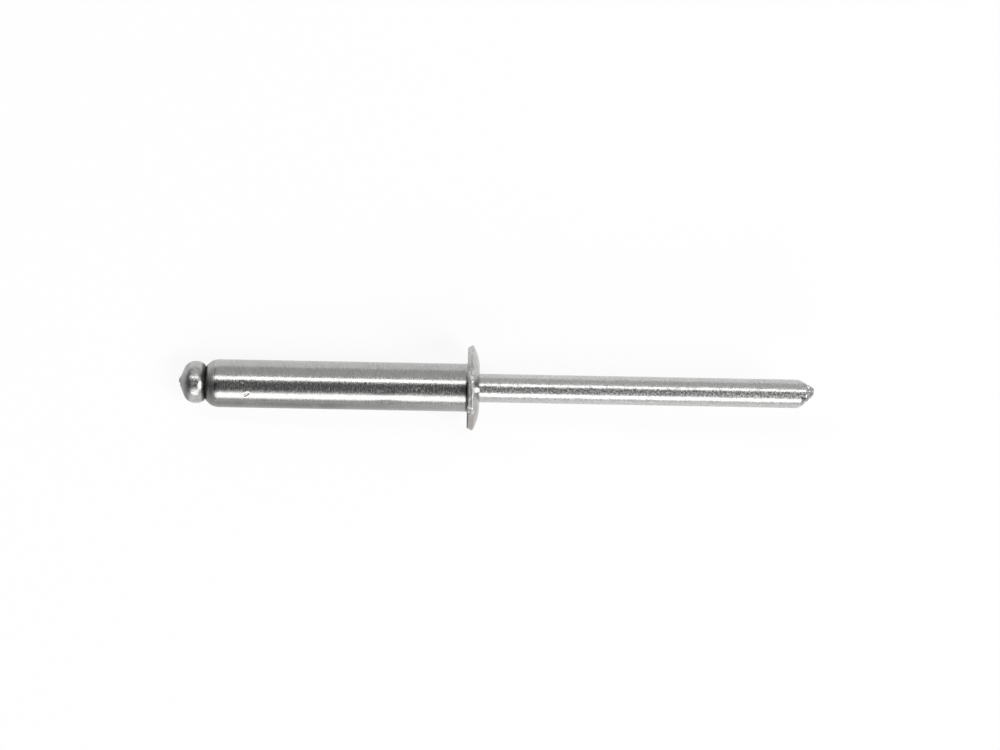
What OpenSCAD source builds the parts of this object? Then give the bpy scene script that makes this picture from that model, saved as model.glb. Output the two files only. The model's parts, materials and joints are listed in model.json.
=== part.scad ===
// Open-end blind rivet with a domed flange, not yet set: a hollow shell on its pull mandrel.
// It lies as it comes to rest, on the rim of the flange and the rounded end of the shell.
// The origin is the centre of the flange's seat face, and the stem points to +X.
// Each piece is drawn upright, with the rivet's axis on Z, and laid down as the last step.

/* [Shell] */
// Outside diameter of the shell
shell_d = 4.8; // [4:0.1:6]
// Length of the shell below the flange's seat face
shell_len = 26; // [14:0.5:36]
// Radius that rounds the blind end of the shell
nose_r = 1.6; // [1.5:0.05:2.2]
// Length of shell that is rounded at the blind end
nose_len = 1.36; // [0.8:0.02:1.4]
// Radius of the fillet between the shell and the flange's seat face
seat_fillet_r = 0.15; // [0.05:0.05:0.5]
// Gap all round between the mandrel and the shell's bore
bore_gap = 0.05; // [0.02:0.01:0.1]
// Width of the chamfer where the bore opens on the dome
bore_chamfer = 0.12; // [0.04:0.02:0.3]

/* [Flange] */
// Diameter of the flange at its widest, before its rim is rounded
flange_d = 8.56; // [7.4:0.02:11]
// Diameter of the flat seat face under the flange
seat_d = 8.04; // [6.6:0.02:8.3]
// Height above the seat face where the flange is widest
rim_h = 0.56; // [0.3:0.02:1]
// Radius that rounds the rim where it meets the dome
rim_round_r = 0.1; // [0.04:0.02:0.2]
// Height of the dome's crown above the seat face
crown_h = 1.23; // [1.1:0.01:2.4]
// Diameter of the flat on the dome's crown
crown_flat_d = 3.6; // [3.3:0.05:5]
// Offset of the pressed flange from the shell's axis: the rivet rolls until it points up
flange_offset = 0.09; // [0:0.01:0.2]

/* [Mandrel] */
// Diameter of the mandrel's stem
stem_d = 2.86; // [2.2:0.02:3]
// Length of the stem that stands out above the dome's crown
stem_len = 33.3; // [20:0.1:45]

/* [Mandrel head] */
// Diameter of the mandrel's head at its widest
head_d = 4.24; // [3.8:0.02:5]
// Diameter of the flat ring on which the head bears against the shell
head_seat_d = 3.3; // [3.1:0.05:3.6]
// Radius that rounds the back of the head, next to the shell
head_back_r = 1; // [0.8:0.05:1.2]
// Radius that rounds the front of the head
head_front_r = 1.2; // [1:0.05:1.4]
// Length of the straight band round the head
head_band = 0.22; // [0.1:0.01:1]
// Slope of the cone on the front of the head, from the axis
head_cone_slope = 67; // [60:1:75]
// Diameter of the flat on the front of the head
head_flat_d = 0.9; // [0.8:0.05:1.2]
// Sideways offset of the forged head from the stem's axis
head_offset = 0.08; // [0:0.01:0.15]
// Diameter of the cut-off nub on the front of the head, at its root
nub_d = 0.7; // [0.5:0.05:0.8]
// Diameter of the nub's tip
nub_tip_d = 0.4; // [0.1:0.05:0.45]
// Height of the cut-off nub
nub_h = 0.14; // [0.05:0.01:0.4]
// Sideways offset of the nub from the head's centre
nub_offset = 0.16; // [0:0.02:0.3]

/* [Break neck] */
// Distance from the head's bearing ring to the middle of the neck
neck_at = 3; // [2:0.1:8]
// Width across the square neck that is left between the four notches
neck_w = 1.7; // [1.2:0.05:2]
// Slope of the notches' faces, from the axis
neck_slope = 40; // [30:1:60]

/* [Pinched point] */
// Length of the flatter face that the pinching tool left
pinch_len_a = 1.55; // [0.8:0.05:2]
// Slope of the flatter pinched face, from the axis
pinch_slope_a = 28.5; // [20:0.5:35]
// Length of the steeper pinched face
pinch_len_b = 1.65; // [0.8:0.05:2]
// Slope of the steeper pinched face, from the axis
pinch_slope_b = 39; // [25:1:40]
// Length of the two broken faces between the pinched ones
break_len = 0.75; // [0.4:0.05:1]
// Slope of the broken faces, from the axis
break_slope = 52; // [35:1:55]
// Turn of the steeper face from straight opposite the flatter one
pinch_turn = 12; // [0:1:30]

/* [Hidden] */
$fn = 96;

shell_r = shell_d / 2;
flange_r = flange_d / 2;
seat_r = seat_d / 2;
stem_r = stem_d / 2;
head_r = head_d / 2;
bore_r = stem_r + bore_gap;
blind_end = -shell_len;
stem_end = crown_h + stem_len;

// How far a cutting shape reaches past what it cuts
over = 1;

// The nose's round starts flush with the shell and is cut off by the end face
nose_centre = [shell_r - nose_r, blind_end + nose_len];

// The dome's arc leaves the crown's flat smoothly and passes the flange's widest at rim_h
crown_flat_r = crown_flat_d / 2;
dome_drop = crown_h - rim_h;
dome_r = (pow(dome_drop, 2) + pow(flange_r - crown_flat_r, 2)) / (2 * dome_drop);
dome_centre = [crown_flat_r, crown_h - dome_r];

// The rim's round touches the rim's cone and the dome, both from inside
rim_flare = atan((flange_r - seat_r) / rim_h);
rim_out = [cos(rim_flare), -sin(rim_flare)];
rim_up = [sin(rim_flare), cos(rim_flare)];
rim_depth = seat_r * cos(rim_flare) - rim_round_r;
rim_rise = dome_centre * rim_up
    + sqrt(pow(dome_r - rim_round_r, 2) - pow(rim_depth - dome_centre * rim_out, 2));
rim_centre = rim_depth * rim_out + rim_rise * rim_up;
rim_touch = rim_centre + rim_round_r * rim_out;
dome_touch = dome_centre + (rim_centre - dome_centre) * dome_r / (dome_r - rim_round_r);

// The head's two rounds reach its full width, and its cone leaves the front one smoothly
head_seat_r = head_seat_d / 2;
head_flat_r = head_flat_d / 2;
head_back_x = head_r - head_back_r;
head_back = [head_back_x, -sqrt(pow(head_back_r, 2) - pow(head_seat_r - head_back_x, 2))];
head_front = [head_r - head_front_r, head_back[1] - head_band];
cone_start = head_front + head_front_r * [cos(head_cone_slope), -sin(head_cone_slope)];
cone_end = [head_flat_r, cone_start[1] - (cone_start[0] - head_flat_r) / tan(head_cone_slope)];

// Pitch at which one level plane touches both the rim's round and the nose's round
rest_span = rim_centre - nose_centre - [flange_offset, 0];
rest_pitch = acos((nose_r - rim_round_r) / norm(rest_span)) - atan2(rest_span[1], rest_span[0]);

// Turns a piece from upright to the way the rivet lies
module lay_down() {
    rotate([0, 90 - rest_pitch, 0]) children();
}

// A rectangle of the upright half section, from the axis outwards
module band(radius, z_low, z_high) {
    translate([0, z_low]) square([radius, z_high - z_low]);
}

// The straight shell and its rounded blind end
module barrel() {
    rotate_extrude() intersection() {
        union() {
            band(shell_r, nose_centre[1], rim_h);
            band(nose_centre[0], blind_end, nose_centre[1]);
            translate(nose_centre) circle(nose_r);
        }
        band(flange_r, blind_end, rim_h);
    }
}

// The fillet that blends the shell into the seat face
module seat_fillet() {
    rotate_extrude() difference() {
        band(shell_r + seat_fillet_r, -seat_fillet_r, rim_h);
        translate([shell_r + seat_fillet_r, -seat_fillet_r]) circle(seat_fillet_r);
    }
}

// The flange: a flat seat, a flared rim with a rounded edge and a low dome
module flange() {
    rotate_extrude() {
        intersection() {
            union() {
                band(crown_flat_r, 0, crown_h);
                translate(dome_centre) circle(dome_r);
            }
            polygon([
                [0, 0], [seat_r, 0], rim_touch, dome_touch,
                [dome_touch[0], crown_h + over], [0, crown_h + over]
            ]);
        }
        translate(rim_centre) circle(rim_round_r);
    }
}

// The bore and its chamfer at the dome
module bore() {
    translate([0, 0, blind_end - over]) cylinder(r = bore_r, h = shell_len + crown_h + 2 * over);
    translate([0, 0, crown_h - bore_chamfer])
        cylinder(r1 = bore_r, r2 = bore_r + bore_chamfer + over, h = bore_chamfer + over);
}

// The hollow shell and its flange, formed from one blank
module rivet_body() {
    color("silver") lay_down() difference() {
        union() {
            barrel();
            seat_fillet();
            translate([-flange_offset, 0, 0]) flange();
        }
        bore();
    }
}

// The mandrel's bulb head, below its bearing ring at z = 0
module head() {
    rotate_extrude() intersection() {
        union() {
            translate(head_back) circle(head_back_r);
            translate(head_front) circle(head_front_r);
            polygon([
                [0, 0], [head_seat_r, 0], [head_r, head_back[1]], [head_r, head_front[1]],
                cone_start, cone_end, [0, cone_end[1]]
            ]);
        }
        band(head_d, cone_end[1], 0);
    }
}

// What the cut-off left on the front of the head, with its root inside the head
module nub() {
    translate([0, nub_offset, cone_end[1]]) {
        translate([0, 0, -nub_h]) cylinder(d1 = nub_tip_d, d2 = nub_d, h = nub_h);
        cylinder(d = nub_d, h = over);
    }
}

// A block that cuts one sloping face, on the side that turn points to. The face starts
// on the stem's surface, length below the stem's end, and leans in towards the end.
module slope_cut(turn, length, slope) {
    size = 2 * stem_d;
    rotate([0, 0, turn]) translate([stem_r, 0, stem_end - length]) rotate([0, -slope, 0])
        translate([0, -size / 2, -over]) cube([size, size, size]);
}

// The four notches that leave a square neck, which breaks when the rivet is set
module break_neck() {
    depth = (stem_d - neck_w) / 2 + over;
    half_len = depth / tan(neck_slope);
    for (turn = [0:90:270])
        rotate([0, 0, turn]) translate([neck_w / 2, 0, blind_end + neck_at]) rotate([90, 0, 0])
            linear_extrude(height = stem_d + over, center = true)
                polygon([[0, 0], [depth, -half_len], [depth, half_len]]);
}

// The bulb head, the stem through the shell and the pinched point, all one piece
module mandrel() {
    color("gainsboro") lay_down() {
        translate([0, head_offset, blind_end]) {
            head();
            nub();
        }
        difference() {
            translate([0, 0, blind_end]) cylinder(r = stem_r, h = shell_len + stem_end);
            break_neck();
            slope_cut(90, pinch_len_a, pinch_slope_a);
            slope_cut(270 - pinch_turn, pinch_len_b, pinch_slope_b);
            slope_cut(0, break_len, break_slope);
            slope_cut(180, break_len, break_slope);
        }
    }
}

rivet_body();
mandrel();
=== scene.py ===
"""The looks of the pop rivet: its shell and its mandrel in steel, on a plain white floor.

Both pieces are built as rings round the rivet's axis, upright and in millimetres, with the
flange's seat at z = 0 and the stem's tip at the top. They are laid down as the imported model
lies, which turns their -X side up.
"""

import json
import math

import bpy
import numpy as np
from mathutils import Matrix, Vector, noise

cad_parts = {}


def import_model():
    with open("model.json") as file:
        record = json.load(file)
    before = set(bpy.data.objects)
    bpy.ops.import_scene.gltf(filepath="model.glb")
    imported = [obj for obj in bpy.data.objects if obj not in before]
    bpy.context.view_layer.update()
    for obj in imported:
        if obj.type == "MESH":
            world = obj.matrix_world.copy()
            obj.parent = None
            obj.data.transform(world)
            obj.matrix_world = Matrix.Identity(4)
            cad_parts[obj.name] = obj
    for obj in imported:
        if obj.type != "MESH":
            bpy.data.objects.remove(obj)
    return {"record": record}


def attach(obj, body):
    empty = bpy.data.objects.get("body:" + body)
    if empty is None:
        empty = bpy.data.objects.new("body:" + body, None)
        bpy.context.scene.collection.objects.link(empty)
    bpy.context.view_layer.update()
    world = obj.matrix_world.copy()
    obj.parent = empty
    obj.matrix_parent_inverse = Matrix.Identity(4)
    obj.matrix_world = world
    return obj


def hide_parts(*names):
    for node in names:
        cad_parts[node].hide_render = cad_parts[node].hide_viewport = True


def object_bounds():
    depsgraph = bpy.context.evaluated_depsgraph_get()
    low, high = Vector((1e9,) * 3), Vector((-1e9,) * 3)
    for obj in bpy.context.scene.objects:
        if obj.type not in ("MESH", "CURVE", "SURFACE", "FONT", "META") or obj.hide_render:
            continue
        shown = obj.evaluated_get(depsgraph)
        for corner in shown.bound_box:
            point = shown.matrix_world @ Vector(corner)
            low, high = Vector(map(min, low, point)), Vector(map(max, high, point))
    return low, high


MM = 0.001

# The shell, as in the part's source
SHELL_R = 2.4
BLIND_END = -26.0
NOSE_R = 1.6
NOSE_LEN = 1.36
SEAT_FILLET_R = 0.15
BORE_R = 1.48
BORE_CHAMFER = 0.12

# The flange, which was pressed a little off the shell's axis
FLANGE_R = 4.28
SEAT_R = 4.02
RIM_H = 0.56
RIM_ROUND_R = 0.1
CROWN_H = 1.23
CROWN_FLAT_R = 1.8
FLANGE_SHIFT = (-0.09, 0.0)

# The mandrel: its stem, its head with the cut-off nub, and its break neck inside the shell
STEM_R = 1.43
STEM_END = CROWN_H + 33.3
HEAD_R = 2.12
HEAD_SEAT_R = 1.65
HEAD_BACK_R = 1.0
HEAD_FRONT_R = 1.2
HEAD_BAND = 0.22
HEAD_CONE_SLOPE = math.radians(67)
HEAD_FLAT_R = 0.45
HEAD_SHIFT = (0.0, 0.08)
NUB_R = 0.35
NUB_TIP_R = 0.2
NUB_H = 0.14
NUB_SHIFT = (0.0, 0.24)
NECK_Z = BLIND_END + 3.0
NECK_HALF_W = 0.85
NECK_SLOPE = math.radians(40)

# The faces that close the stem's point: turn round the axis, length and slope from the axis
POINT_FACES = (
    (math.radians(90), 1.55, math.radians(28.5)),
    (math.radians(258), 1.65, math.radians(39)),
    (math.radians(0), 0.75, math.radians(52)),
    (math.radians(180), 0.75, math.radians(52)),
)

# The shell's dents: turn in degrees, height, width, length and depth
SHELL_DENTS = (
    # The slanting pit near the blind end
    (203.5, -21.72, 0.18, 0.18, 0.08),
    (207, -21.86, 0.18, 0.18, 0.08),
    (210, -22.0, 0.18, 0.18, 0.08),
    # Small marks
    (176.7, -22.2, 0.25, 0.25, 0.03),
    (182.6, -4.6, 0.2, 0.2, 0.03),
    (187, -4.9, 0.2, 0.2, 0.03),
    # Wider, shallow dents
    (193, -8.3, 0.5, 2.2, 0.014),
    (222, -7.9, 0.5, 2.0, 0.028),
    (226, -2.2, 0.4, 0.9, 0.025),
    (147, -5.2, 0.6, 0.7, 0.01),
    (100, -5.5, 0.5, 0.6, 0.02),
    # Nicks in the flange's rim
    (166.5, 0.45, 0.6, 0.2, 0.05),
    (208, 0.1, 0.3, 0.2, 0.05),
    (210, 0.3, 0.3, 0.2, 0.05),
    (212, 0.12, 0.3, 0.2, 0.05),
)

# The shell's colours
SHELL_DARK = (0.37, 0.366, 0.363)
SHELL_PALE = (0.51, 0.505, 0.5)
RIM_DARK = (0.47, 0.465, 0.46)
RIM_PALE = (0.78, 0.77, 0.76)
WARM_TINT = (0.52, 0.455, 0.425)
# The next colour is a painted glint, white for the bright flecks and scratch on the rim
NICK_PAINTED_GLINT = (1.0, 1.0, 1.0)
DARKER_TONE = (0.20, 0.198, 0.196)

# The mandrel's colours
WIRE_DARK = (0.4, 0.4, 0.396)
WIRE_PALE = (0.64, 0.64, 0.635)
FORGED_DARK = (0.42, 0.42, 0.415)
FORGED_PALE = (0.52, 0.52, 0.515)
DULL_FRONT = (0.22, 0.22, 0.218)
# The next colour is painted shade for the steeper pinched face of the stem's point
FACE_PAINTED_SHADE = (0.11, 0.11, 0.109)
TORN_GRAIN = (0.38, 0.38, 0.378)

# The painted shade in the corners and gaps, and the share of the metal's colour that it hides
PAINTED_SHADE = (0.04, 0.04, 0.04)
PAINTED_SHADE_COVER = 0.85

# The Mix node's colour sockets share their names with its others, so they go by number
MIX_COLOUR_A = 6
MIX_COLOUR_B = 7
MIX_COLOUR_RESULT = 2

# The floor: half its width in metres, its paper's colour, and the share of it that is plain
# white to the camera and to metal, while the rest keeps the shadow
FLOOR_HALF = 3.0
FLOOR_PAPER = (0.9, 0.9, 0.9, 1)
FLOOR_WHITE = 0.9

# The studio that lights the rivet: a dim ceiling that turns into pale walls on both sides,
# between these two values of a direction's sideways part
CEILING_LEVEL = 0.09
WALL_LEVEL = 0.6
CEILING_END_Y = 0.45
WALL_START_Y = 0.7

# Towards the head's end the studio is dimmer: this share of its light is left where a
# direction's lengthwise part is at most HEAD_END_X, and all of it from FULL_LIGHT_X on
HEAD_END_SHARE = 0.3
HEAD_END_X = -0.6
FULL_LIGHT_X = -0.2

# How far the lamps are from the rivet, in metres
LAMP_DISTANCE = 1.0

# The camera: the width of its view and the view's centre, seen from the flange's seat, in
# metres, and its lean towards +X and its roll in degrees
VIEW_WIDTH = 0.0996
VIEW_CENTRE = (0.00327, 0.00127)
CAMERA_LEAN = -4.8
CAMERA_ROLL = 1.07

# How many points a ring has, and their turns round the axis
SEGMENTS = 240
TURNS = np.linspace(0, 2 * math.pi, SEGMENTS, endpoint=False)


# ---------------------------------------------------------------- rings and skins


def ring(radius, z, shift=(0.0, 0.0)):
    """One ring of points; radius and z are numbers, or arrays with a value for each turn."""
    x = shift[0] + radius * np.cos(TURNS)
    y = shift[1] + radius * np.sin(TURNS)
    return np.stack([x, y, np.broadcast_to(z, x.shape)], axis=1)


def onwards(start, end, steps):
    """Equal steps from start to end, without the start itself."""
    return np.linspace(start, end, steps + 1)[1:]


def arc(centre, radius, start, end, points):
    """Points (r, z) of the half section on an arc, from start to end in radians."""
    return [
        (centre[0] + radius * math.cos(a), centre[1] + radius * math.sin(a))
        for a in np.linspace(start, end, points)
    ]


def line(start, end, steps):
    """Points (r, z) of the half section on a straight line, without its first one."""
    return [tuple(point) for point in onwards(start, end, steps)]


def between(a, b, share):
    """The pair of numbers that lies a share of the way from a to b."""
    return tuple(p + share * (q - p) for p, q in zip(a, b))


def skin(name, rings, closed):
    """A smooth mesh from ring to ring: joined into a loop if closed, else capped at its ends."""
    count = len(rings)
    points = np.concatenate(rings)
    around = np.arange(SEGMENTS)
    beside = (around + 1) % SEGMENTS
    faces = []
    for i in range(count if closed else count - 1):
        low = i * SEGMENTS
        high = (i + 1) % count * SEGMENTS
        faces += np.stack([low + around, low + beside, high + beside, high + around], 1).tolist()
    if not closed:
        first, last = len(points), len(points) + 1
        points = np.concatenate([points, [rings[0].mean(0)], [rings[-1].mean(0)]])
        top = (count - 1) * SEGMENTS
        faces += [[first, b, a] for a, b in zip(around.tolist(), beside.tolist())]
        faces += [[last, top + a, top + b] for a, b in zip(around.tolist(), beside.tolist())]
    mesh = bpy.data.meshes.new(name)
    mesh.from_pydata((points * MM).tolist(), [], faces)
    mesh.shade_smooth()
    return mesh


def press_in(mesh, depth):
    """Moves each point of the mesh straight in by depth(point), in millimetres."""
    normals = [vertex.normal.copy() for vertex in mesh.vertices]
    for vertex, normal in zip(mesh.vertices, normals):
        vertex.co -= normal * (depth(vertex.co / MM) * MM)


def place(mesh, rest, material, node):
    """Lays the mesh down as a piece that rides with the rivet and stands for the CAD node."""
    mesh.transform(rest)
    mesh.materials.append(material)
    piece = bpy.data.objects.new(mesh.name, mesh)
    bpy.context.scene.collection.objects.link(piece)
    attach(piece, "root")
    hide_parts(node)


# ---------------------------------------------------------------- the shell


def flange_section():
    """The dome's radius and its arc's height, the rim round's centre and the rim's flare."""
    drop = CROWN_H - RIM_H
    width = FLANGE_R - CROWN_FLAT_R
    dome_r = (drop**2 + width**2) / (2 * drop)
    dome_z = CROWN_H - dome_r
    flare = math.atan((FLANGE_R - SEAT_R) / RIM_H)
    out = np.array([math.cos(flare), -math.sin(flare)])
    up = np.array([math.sin(flare), math.cos(flare)])
    dome_centre = np.array([CROWN_FLAT_R, dome_z])
    depth = SEAT_R * math.cos(flare) - RIM_ROUND_R
    reach = math.sqrt((dome_r - RIM_ROUND_R) ** 2 - (depth - dome_centre @ out) ** 2)
    rim_centre = depth * out + (dome_centre @ up + reach) * up
    return dome_r, dome_z, rim_centre, flare


def barrel_rings():
    """The outside of the shell, from its blind end to the fillet under the flange."""
    nose_centre = (SHELL_R - NOSE_R, BLIND_END + NOSE_LEN)
    nose_start = -math.asin(NOSE_LEN / NOSE_R)
    fillet_centre = (SHELL_R + SEAT_FILLET_R, -SEAT_FILLET_R)
    section = [(BORE_R, BLIND_END)]
    section += arc(nose_centre, NOSE_R, nose_start, 0, points=28)
    section += line(section[-1], (SHELL_R, -SEAT_FILLET_R), steps=230)
    section += arc(fillet_centre, SEAT_FILLET_R, math.pi, math.pi / 2, points=8)[1:]
    return [ring(r, z) for r, z in section]


def flange_rings():
    """The flange's seat, rim and dome; its rings slide to its own axis and back again."""
    rings = []
    seat_start = SHELL_R + SEAT_FILLET_R
    for share in onwards(0, 1, steps=12):
        radius = seat_start + share * (SEAT_R - seat_start)
        rings.append(ring(radius, 0.0, between((0, 0), FLANGE_SHIFT, share)))

    dome_r, dome_z, rim_centre, flare = flange_section()
    rim_end = math.atan2(rim_centre[1] - dome_z, rim_centre[0] - CROWN_FLAT_R)
    rim_round = arc(rim_centre, RIM_ROUND_R, -flare, rim_end, points=10)
    rim = line((SEAT_R, 0.0), rim_round[0], steps=18) + rim_round[1:]
    rings += [ring(r, z, FLANGE_SHIFT) for r, z in rim]

    dome_start = rim[-1][0]
    bore_mouth = BORE_R + BORE_CHAMFER
    for share in onwards(0, 1, steps=24):
        radius = dome_start + share * (bore_mouth - dome_start)
        points = ring(radius, 0.0, between(FLANGE_SHIFT, (0, 0), share))
        out = np.hypot(points[:, 0] - FLANGE_SHIFT[0], points[:, 1] - FLANGE_SHIFT[1])
        points[:, 2] = dome_z + np.sqrt(dome_r**2 - np.maximum(out - CROWN_FLAT_R, 0) ** 2)
        rings.append(points)
    return rings


def bore_rings():
    """The bore, from its chamfer at the dome towards the blind end's edge, which is left out."""
    chamfer_end = (BORE_R, CROWN_H - BORE_CHAMFER)
    section = line((BORE_R + BORE_CHAMFER, CROWN_H), chamfer_end, steps=3)
    section += line(chamfer_end, (BORE_R, BLIND_END), steps=8)[:-1]
    return [ring(r, z) for r, z in section]


def shell_rings():
    """The shell's rings, the last of which joins the first one at the blind end."""
    return barrel_rings() + flange_rings() + bore_rings()


# ---------------------------------------------------------------- the mandrel


def head_section():
    """The head's half section from its front flat to its bearing ring, and the flat's height."""
    back_x = HEAD_R - HEAD_BACK_R
    back = (back_x, BLIND_END - math.sqrt(HEAD_BACK_R**2 - (HEAD_SEAT_R - back_x) ** 2))
    front = (HEAD_R - HEAD_FRONT_R, back[1] - HEAD_BAND)
    front_round = arc(front, HEAD_FRONT_R, -HEAD_CONE_SLOPE, 0, points=20)
    cone_drop = (front_round[0][0] - HEAD_FLAT_R) / math.tan(HEAD_CONE_SLOPE)
    flat_z = front_round[0][1] - cone_drop
    back_end = math.acos((HEAD_SEAT_R - back_x) / HEAD_BACK_R)
    section = line((0.0, flat_z), (HEAD_FLAT_R, flat_z), steps=16)
    section += line((HEAD_FLAT_R, flat_z), front_round[0], steps=20) + front_round[1:]
    section += line((HEAD_R, front[1]), (HEAD_R, back[1]), steps=3)
    section += arc(back, HEAD_BACK_R, 0, back_end, points=20)[1:]
    return section, flat_z


def add_nub(points, flat_z):
    """Pulls the middle of the head's front out into the nub that was left by the cut-off."""
    out = np.hypot(points[:, 0] - NUB_SHIFT[0], points[:, 1] - NUB_SHIFT[1])
    rise = np.clip((NUB_R - out) / (NUB_R - NUB_TIP_R), 0, 1) * NUB_H
    points[:, 2] = np.where(out < NUB_R, np.minimum(points[:, 2], flat_z - rise), points[:, 2])


def head_rings():
    """The head, from its front to where its bearing ring meets the stem."""
    section, flat_z = head_section()
    rings = [ring(r, z, HEAD_SHIFT) for r, z in section]
    for points in rings:
        add_nub(points, flat_z)
    for share in onwards(0, 1, steps=4):
        radius = HEAD_SEAT_R + share * (STEM_R - HEAD_SEAT_R)
        rings.append(ring(radius, BLIND_END, between(HEAD_SHIFT, (0, 0), share)))
    return rings


def stem_radius(z):
    """The stem's radius at a height, turn by turn, with its neck and its pointed end."""
    radius = np.full(SEGMENTS, STEM_R)
    flat = NECK_HALF_W + abs(z - NECK_Z) * math.tan(NECK_SLOPE)
    radius = np.minimum(radius, flat / np.maximum(abs(np.cos(TURNS)), abs(np.sin(TURNS))))
    for turn, length, slope in POINT_FACES:
        reach = STEM_R - (z - (STEM_END - length)) * math.tan(slope)
        facing = np.maximum(np.cos(TURNS - turn), 1e-6)
        radius = np.minimum(radius, reach / facing)
    return radius


def stem_rings():
    """The stem up to its broken end; the rings lie closest at its neck and its point."""
    notch = (STEM_R - NECK_HALF_W) / math.tan(NECK_SLOPE)
    point_start = STEM_END - max(length for _, length, _ in POINT_FACES) - 0.2
    heights = [
        *onwards(BLIND_END, NECK_Z - notch, steps=7),
        *onwards(NECK_Z - notch, NECK_Z + notch, steps=16),
        *onwards(NECK_Z + notch, point_start, steps=159),
        *onwards(point_start, STEM_END, steps=57),
    ]
    rings = [ring(stem_radius(z), z) for z in heights]
    end_radius = stem_radius(STEM_END)
    for share in onwards(1, 0, steps=15)[:-1]:
        rings.append(ring(end_radius * share, STEM_END))
    return rings


def mandrel_rings():
    """The mandrel's rings, from the front of its head to its broken end."""
    return head_rings() + stem_rings()


# ---------------------------------------------------------------- wear and tool marks


def wavy(point, size):
    """Smooth noise from 0 to 1 whose waves are about size mm long."""
    return 0.5 + 0.5 * noise.noise(point / size)


def ramp(value, start, end):
    """0 up to start, 1 from end on, and smooth between."""
    share = min(max((value - start) / (end - start), 0.0), 1.0)
    return share * share * (3 - 2 * share)


def dent(point, turn, z, width, length):
    """1 in the middle of a small dent, which fades to 0 about its half width and length away."""
    radius = math.hypot(point.x, point.y)
    away = (math.atan2(point.y, point.x) - turn + math.pi) % (2 * math.pi) - math.pi
    across = away * radius / (width / 2)
    along = (point.z - z) / (length / 2)
    return math.exp(-(across**2 + along**2))


def shell_wear(point):
    """How far the shell's surface is pressed in: it is slightly wavy, dented and nicked."""
    depth = 0.014 * wavy(point, size=3.5)
    for turn, z, width, length, deep in SHELL_DENTS:
        depth += deep * dent(point, math.radians(turn), z, width, length)
    rim = ramp(math.hypot(point.x, point.y), start=3.0, end=3.9)
    depth += 0.03 * rim * wavy(point, size=0.45) ** 2
    return depth


def mandrel_wear(point):
    """How far the mandrel's surface is pressed in: its head and its broken end are rough."""
    depth = 0.01 * wavy(point, size=3.0)
    beyond_shell = BLIND_END - point.z
    head = ramp(beyond_shell, start=0.0, end=0.3)
    depth += head * (0.03 * wavy(point, size=0.7) + 0.012 * wavy(point, size=0.2))
    front = ramp(beyond_shell, start=2.2, end=2.45)
    depth += front * 0.05 * wavy(point, size=0.12)
    broken = ramp(point.z, start=STEM_END - 0.85, end=STEM_END - 0.65)
    creases = abs(2 * wavy(point, size=0.35) - 1)
    depth += broken * (0.24 * creases + 0.02 * wavy(point, size=0.12))
    return depth


# ---------------------------------------------------------------- nodes for materials


def add_node(tree, kind, inputs=None, **settings):
    """A new node with its settings; its inputs are set to values or linked to outputs."""
    made = tree.nodes.new(kind)
    for key, value in settings.items():
        setattr(made, key, value)
    for key, value in (inputs or {}).items():
        if isinstance(value, bpy.types.NodeSocket):
            tree.links.new(value, made.inputs[key])
        else:
            made.inputs[key].default_value = value
    return made


def new_material(name):
    """A material with an empty node tree, and its output node."""
    material = bpy.data.materials.new(name)
    material.use_nodes = True
    material.node_tree.nodes.clear()
    return material, material.node_tree, material.node_tree.nodes.new("ShaderNodeOutputMaterial")


def upright(tree, lie, across, along):
    """The place on the upright piece, counted in grains of that size in mm.

    lie is the turn about Y that laid the piece down, which is undone here.
    """
    mapping = add_node(tree, "ShaderNodeMapping", {
        "Vector": add_node(tree, "ShaderNodeTexCoord").outputs["Object"],
        "Rotation": (0.0, lie, 0.0),
        "Scale": (across * MM, across * MM, along * MM),
    }, vector_type="TEXTURE")
    return mapping.outputs["Vector"]


def whereabouts(tree, lie):
    """The place on the upright piece in mm: y, height z and distance from the axis."""
    point = upright(tree, lie, across=1.0, along=1.0)
    parts = add_node(tree, "ShaderNodeSeparateXYZ", {0: point}).outputs
    flat = add_node(tree, "ShaderNodeVectorMath", {0: point, 1: (1, 1, 0)}, operation="MULTIPLY")
    out = add_node(tree, "ShaderNodeVectorMath", {0: flat.outputs[0]}, operation="LENGTH")
    return parts["Y"], parts["Z"], out.outputs["Value"]


def mottle(tree, lie, across, along):
    """Noise fixed to the piece, with grains of that size in mm across and along its axis."""
    made = add_node(tree, "ShaderNodeTexNoise", {
        "Vector": upright(tree, lie, across, along),
        "Scale": 1.0,
        "Detail": 2.0,
    })
    return made.outputs["Fac"]


def spread(tree, value, low, high, start=0.35, end=0.65, interpolation="LINEAR"):
    """Maps start..end to low..high, and no further; most noise lies from 0.35 to 0.65."""
    made = add_node(tree, "ShaderNodeMapRange", {
        "Value": value,
        "From Min": start,
        "From Max": end,
        "To Min": low,
        "To Max": high,
    }, interpolation_type=interpolation)
    return made.outputs["Result"]


def fade(tree, value, start, end):
    """0 where a value hasn't reached start yet, 1 where it is past end, and even between."""
    return spread(tree, value, 0, 1, start, end)


def math_node(tree, operation, first, second):
    """What a Math node makes of two values of the material."""
    return add_node(tree, "ShaderNodeMath", {0: first, 1: second}, operation=operation).outputs[0]


def product(tree, *values):
    """The product of values of the material."""
    result = values[0]
    for value in values[1:]:
        result = math_node(tree, "MULTIPLY", result, value)
    return result


def larger(tree, first, second):
    """The larger of two values of the material."""
    return math_node(tree, "MAXIMUM", first, second)


def within(tree, value, low, high, soft):
    """1 where a value of the material lies between low and high, and 0 from soft beyond them."""
    return product(tree, fade(tree, value, low - soft, low), fade(tree, value, high + soft, high))


def mixed(tree, share, first, second):
    """The value that lies a share of the way from the first value to the second."""
    made = add_node(tree, "ShaderNodeMix", {
        "Factor": share, "A": first, "B": second,
    }, data_type="FLOAT")
    return made.outputs["Result"]


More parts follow.
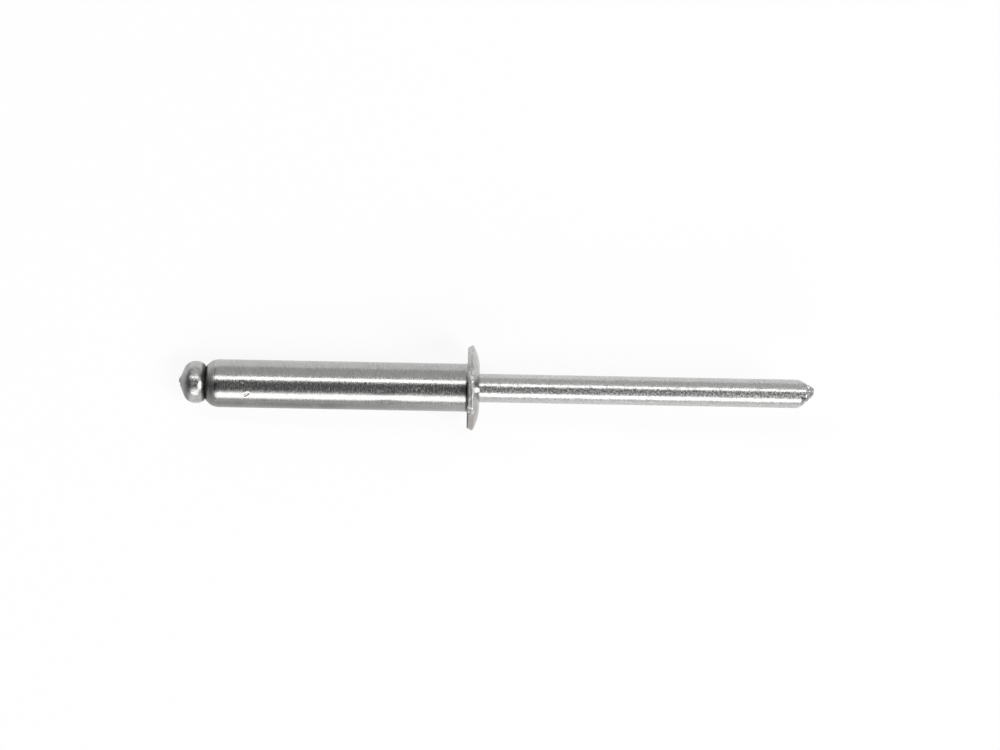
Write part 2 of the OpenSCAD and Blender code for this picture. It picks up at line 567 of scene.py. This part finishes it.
def blend(tree, share, first, second):
    """The colour that lies a share of the way from the first colour to the second."""
    made = add_node(tree, "ShaderNodeMix", {"Factor": share}, data_type="RGBA")
    for number, colour in ((MIX_COLOUR_A, first), (MIX_COLOUR_B, second)):
        if isinstance(colour, bpy.types.NodeSocket):
            tree.links.new(colour, made.inputs[number])
        else:
            made.inputs[number].default_value = (*colour, 1)
    return made.outputs[MIX_COLOUR_RESULT]


def bumpy(tree, height, depth, normal=None):
    """The surface's normal after a bump map whose black lies depth mm below its white."""
    made = add_node(tree, "ShaderNodeBump", {"Height": height, "Distance": depth * MM})
    if normal:
        tree.links.new(normal, made.inputs["Normal"])
    return made.outputs["Normal"]


def metal(tree, output, colour, roughness, normal):
    """Closes a material as bare metal."""
    made = add_node(tree, "ShaderNodeBsdfPrincipled", {
        "Metallic": 1.0,
        "Base Color": colour,
        "Roughness": roughness,
        "Normal": normal,
    })
    tree.links.new(made.outputs["BSDF"], output.inputs["Surface"])


# ---------------------------------------------------------------- the shell's steel


def rim_nick_glints(tree, lie, y, z):
    """Where the flange's rim gets painted glints: bright flecks along a stretch of it, and a short
    scratch along another.
    """
    flecks = spread(tree, mottle(tree, lie, across=0.25, along=0.12), 0, 1, 0.47, 0.52)
    flecks = product(tree, within(tree, y, -2.5, -1.9, soft=0.1), flecks)
    scratch = within(tree, y, 0.6, 1.25, soft=0.1)
    scratch = product(tree, scratch, within(tree, z, 0.46, 0.5, soft=0.03))
    return larger(tree, flecks, scratch)


def shell_darker_side(tree, y, z, patches):
    """Darker along the shell's -Y side, more so towards the blind end, and on half its nose."""
    side = product(tree, fade(tree, y, -1.35, -1.9), spread(tree, z, 0.4, 1, -1, -14))
    nose = fade(tree, z, BLIND_END + 1.4, BLIND_END + 0.9)
    nose = product(tree, fade(tree, y, 0.6, -0.3), nose)
    return product(tree, larger(tree, side, nose), spread(tree, patches, 0.75, 1, 0, 1))


def shell_painted_shade(tree, y, z):
    """Painted shade in the corner under the flange, except on its +Y side, and at the blind end.
    """
    corner = product(tree, fade(tree, z, -0.2, -0.14), fade(tree, z, 0.15, 0.08))
    corner = product(tree, corner, fade(tree, y, 1.2, 0.5))
    return larger(tree, corner, fade(tree, z, BLIND_END + 0.25, BLIND_END + 0.1))


def shell_metal(lie):
    """Smooth pressed steel with fine lines round it, and a rougher rim and nose."""
    material, tree, output = new_material("shell_steel")
    y, z, out = whereabouts(tree, lie)
    patches = spread(tree, mottle(tree, lie, across=1.6, along=1.6), 0, 1)
    lines = mottle(tree, lie, across=0.5, along=0.09)
    rim_lines = mottle(tree, lie, across=0.6, along=0.16)
    rim = product(tree, fade(tree, out, 3.75, 3.95), fade(tree, z, 0.78, 0.6))
    glinting_nicks = product(tree, rim, rim_nick_glints(tree, lie, y, z))

    shade = larger(tree, product(tree, patches, 0.7), spread(tree, lines, 0, 1))
    colour = blend(tree, shade, SHELL_DARK, SHELL_PALE)
    rim_colour = blend(tree, spread(tree, rim_lines, 0, 1), RIM_DARK, RIM_PALE)
    colour = blend(tree, rim, colour, rim_colour)
    # A warm tint on the flange's -Y side
    colour = blend(tree, spread(tree, y, 0, 0.6, -2.5, -3.0), colour, WARM_TINT)
    # The rim's flecks and scratch are painted white as glints, and are made smoother too
    colour = blend(tree, glinting_nicks, colour, NICK_PAINTED_GLINT)
    # Darker along the shell's -Y side and on half its nose
    colour = blend(tree, shell_darker_side(tree, y, z, patches), colour, DARKER_TONE)
    # Painted shade darkens the corner under the flange and the blind end next to the head
    corner_shade = product(tree, shell_painted_shade(tree, y, z), PAINTED_SHADE_COVER)
    colour = blend(tree, corner_shade, colour, PAINTED_SHADE)

    smooth = spread(tree, mottle(tree, lie, across=0.3, along=0.2), 0.19, 0.29)
    rough = spread(tree, rim_lines, 0.48, 0.6)
    roughness = mixed(tree, rim, smooth, mixed(tree, glinting_nicks, rough, 0.18))
    dull_nose = fade(tree, z, BLIND_END + 1.0, BLIND_END + 0.85)
    roughness = mixed(tree, dull_nose, roughness, 0.44)

    normal = bumpy(tree, lines, 0.012)
    normal = bumpy(tree, product(tree, rim_lines, rim), 0.05, normal)
    metal(tree, output, colour, roughness, normal)
    return material


# ---------------------------------------------------------------- the mandrel's steel


def head_front(tree, y, z):
    """Where the head's front is dull: a little less in its middle, and least on its +Y side."""
    front = fade(tree, z, BLIND_END - 1.45, BLIND_END - 1.75)
    front = product(tree, front, spread(tree, z, 0.9, 1, BLIND_END - 2.25, BLIND_END - 2.0))
    return product(tree, front, spread(tree, y, 0.35, 1, 1.2, 0.0))


def pinched_face_shade(tree, y, z, out):
    """Painted shade on the steeper pinched face of the stem's point, towards its outer edge."""
    face = fade(tree, z, STEM_END - 1.41, STEM_END - 1.21)
    face = product(tree, fade(tree, y, -0.25, -0.4), face)
    return product(tree, face, fade(tree, out, 0.65, 1.15))


def mandrel_metal(lie):
    """Drawn steel wire, finely mottled, with a forged head, painted shade on its pinched face and
    by the head's back, and a torn end.
    """
    material, tree, output = new_material("mandrel_steel")
    y, z, out = whereabouts(tree, lie)
    patches = spread(tree, mottle(tree, lie, across=1.6, along=2.4), 0, 1)
    grain = mottle(tree, lie, across=0.2, along=0.22)
    blotches = mottle(tree, lie, across=0.24, along=0.26)
    head = fade(tree, z, BLIND_END + 0.1, BLIND_END - 0.1)
    front = head_front(tree, y, z)
    broken = fade(tree, z, STEM_END - 0.75, STEM_END - 0.6)

    spots = product(tree, spread(tree, blotches, 0.4, 1), spread(tree, patches, 0.8, 1, 0, 1))
    colour = blend(tree, spots, WIRE_DARK, WIRE_PALE)
    scale = spread(tree, mottle(tree, lie, across=0.5, along=0.5), 0, 1)
    colour = blend(tree, head, colour, blend(tree, scale, FORGED_DARK, FORGED_PALE))
    colour = blend(tree, front, colour, DULL_FRONT)
    # Painted shade darkens the head's back, in the gap next to the shell's blind end
    corner = fade(tree, z, BLIND_END - 0.4, BLIND_END - 0.25)
    colour = blend(tree, product(tree, head, corner, PAINTED_SHADE_COVER), colour, PAINTED_SHADE)
    # Painted shade on the steeper pinched face of the stem's point
    colour = blend(tree, pinched_face_shade(tree, y, z, out), colour, FACE_PAINTED_SHADE)
    torn = spread(tree, mottle(tree, lie, across=0.2, along=0.2), 0, 1, 0.4, 0.6)
    colour = blend(tree, product(tree, broken, torn), colour, TORN_GRAIN)

    drawn = spread(tree, grain, 0.22, 0.36)
    forged = spread(tree, blotches, 0.24, 0.42)
    roughness = mixed(tree, head, drawn, forged)
    rough_end = fade(tree, z, STEM_END - 0.75, STEM_END - 0.63)
    roughness = mixed(tree, larger(tree, rough_end, front), roughness, 0.42)
    metal(tree, output, colour, roughness, bumpy(tree, grain, 0.009))
    return material


# ---------------------------------------------------------------- floor, light and camera


def shown_white(tree):
    """1 for the rays that the floor shows white to: from the camera, metal or glass."""
    path = add_node(tree, "ShaderNodeLightPath").outputs
    seen = larger(tree, path["Is Camera Ray"], path["Is Glossy Ray"])
    return larger(tree, seen, path["Is Transmission Ray"])


def white_floor(z):
    """A wide white floor that keeps the rivet's soft shadow."""
    material, tree, output = new_material("floor_white")
    paper = add_node(tree, "ShaderNodeBsdfDiffuse", {"Color": FLOOR_PAPER})
    white = add_node(tree, "ShaderNodeEmission", {"Color": (1, 1, 1, 1), "Strength": 1.0})
    surface = add_node(tree, "ShaderNodeMixShader", {
        0: product(tree, shown_white(tree), FLOOR_WHITE),
        1: paper.outputs[0],
        2: white.outputs[0],
    })
    tree.links.new(surface.outputs[0], output.inputs["Surface"])
    signs = ((-1, -1), (1, -1), (1, 1), (-1, 1))
    corners = [(FLOOR_HALF * x, FLOOR_HALF * y, z) for x, y in signs]
    mesh = bpy.data.meshes.new("floor")
    mesh.from_pydata(corners, [], [(0, 1, 2, 3)])
    mesh.materials.append(material)
    floor = bpy.data.objects.new("floor", mesh)
    bpy.context.scene.collection.objects.link(floor)


def studio_world():
    """White to the camera, and to the rivet a dim ceiling between pale walls at +Y and -Y."""
    world = bpy.data.worlds.new("studio")
    bpy.context.scene.world = world
    world.use_nodes = True
    tree = world.node_tree
    tree.nodes.clear()
    output = tree.nodes.new("ShaderNodeOutputWorld")
    direction = add_node(tree, "ShaderNodeTexCoord").outputs["Generated"]
    parts = add_node(tree, "ShaderNodeSeparateXYZ", {0: direction}).outputs
    sideways = add_node(tree, "ShaderNodeMath", {0: parts["Y"]}, operation="ABSOLUTE").outputs[0]
    walls = spread(
        tree, sideways, CEILING_LEVEL, WALL_LEVEL, CEILING_END_Y, WALL_START_Y, "SMOOTHSTEP")
    dimmed = spread(
        tree, parts["X"], HEAD_END_SHARE, 1.0, HEAD_END_X, FULL_LIGHT_X, "SMOOTHSTEP")
    level = product(tree, walls, dimmed)
    is_camera = add_node(tree, "ShaderNodeLightPath").outputs["Is Camera Ray"]
    light = add_node(tree, "ShaderNodeBackground", {
        "Color": (1, 1, 1, 1), "Strength": mixed(tree, is_camera, level, 1.0),
    })
    tree.links.new(light.outputs[0], output.inputs["Surface"])


def soft_lamp(name, toward_x, toward_y, length, width, level):
    """A soft lamp that leans from straight above the rivet by the two angles in degrees.

    level sets how bright the lamp's face is, whatever its length and width in metres.
    """
    data = bpy.data.lights.new(name, "AREA")
    data.shape = "RECTANGLE"
    data.size = length
    data.size_y = width
    data.energy = level * math.pi * length * width
    lamp = bpy.data.objects.new(name, data)
    bpy.context.scene.collection.objects.link(lamp)
    lean_x = Matrix.Rotation(math.radians(toward_x), 4, "Y")
    lean_y = Matrix.Rotation(math.radians(-toward_y), 4, "X")
    lamp.matrix_world = lean_x @ lean_y @ Matrix.Translation((0.0, 0.0, LAMP_DISTANCE))
    lamp.visible_camera = False


def camera_over(seat):
    """The camera nearly straight above the flange's seat, turned a little, as in the photo."""
    data = bpy.data.cameras.new("camera")
    data.sensor_width = 36.0
    data.lens = 140.0
    data.clip_start = 0.01
    data.clip_end = 20.0
    camera = bpy.data.objects.new("camera", data)
    bpy.context.scene.collection.objects.link(camera)
    lean = Matrix.Rotation(math.radians(CAMERA_LEAN), 4, "Y")
    roll = Matrix.Rotation(math.radians(CAMERA_ROLL), 4, "Z")
    turned = lean @ roll
    distance = VIEW_WIDTH * data.lens / data.sensor_width
    away = Matrix.Translation((*VIEW_CENTRE, distance))
    camera.matrix_world = Matrix.Translation(seat) @ turned @ away
    bpy.context.scene.camera = camera


def main():
    """Builds the two pieces of the rivet and sets the scene round them."""
    bpy.context.scene.view_settings.view_transform = "Standard"
    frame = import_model()
    cad_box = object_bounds()
    mounts = {mount["name"]: mount for mount in frame["record"]["mounts"]}
    seat = Vector(mounts["flange_seat"]["pos_m"])
    axis = Vector(mounts["pulling_stem"]["axis"])
    lie = math.atan2(axis.x, axis.z)
    rest = Matrix.Translation(seat) @ Matrix.Rotation(lie, 4, "Y")

    shell = skin("rivet_shell", shell_rings(), closed=True)
    press_in(shell, shell_wear)
    place(shell, rest, shell_metal(lie), "rivet_body")

    mandrel = skin("pull_mandrel", mandrel_rings(), closed=False)
    press_in(mandrel, mandrel_wear)
    place(mandrel, rest, mandrel_metal(lie), "mandrel")

    white_floor(cad_box[0].z)
    studio_world()
    soft_lamp("narrow_lamp", toward_x=-15, toward_y=26.4, length=1.2, width=0.2, level=4.2)
    soft_lamp("wide_lamp", toward_x=-15, toward_y=-58.5, length=1.0, width=0.5, level=2.15)
    soft_lamp("small_lamp", toward_x=34, toward_y=-16, length=0.6, width=0.45, level=8.0)
    camera_over(seat)


main()
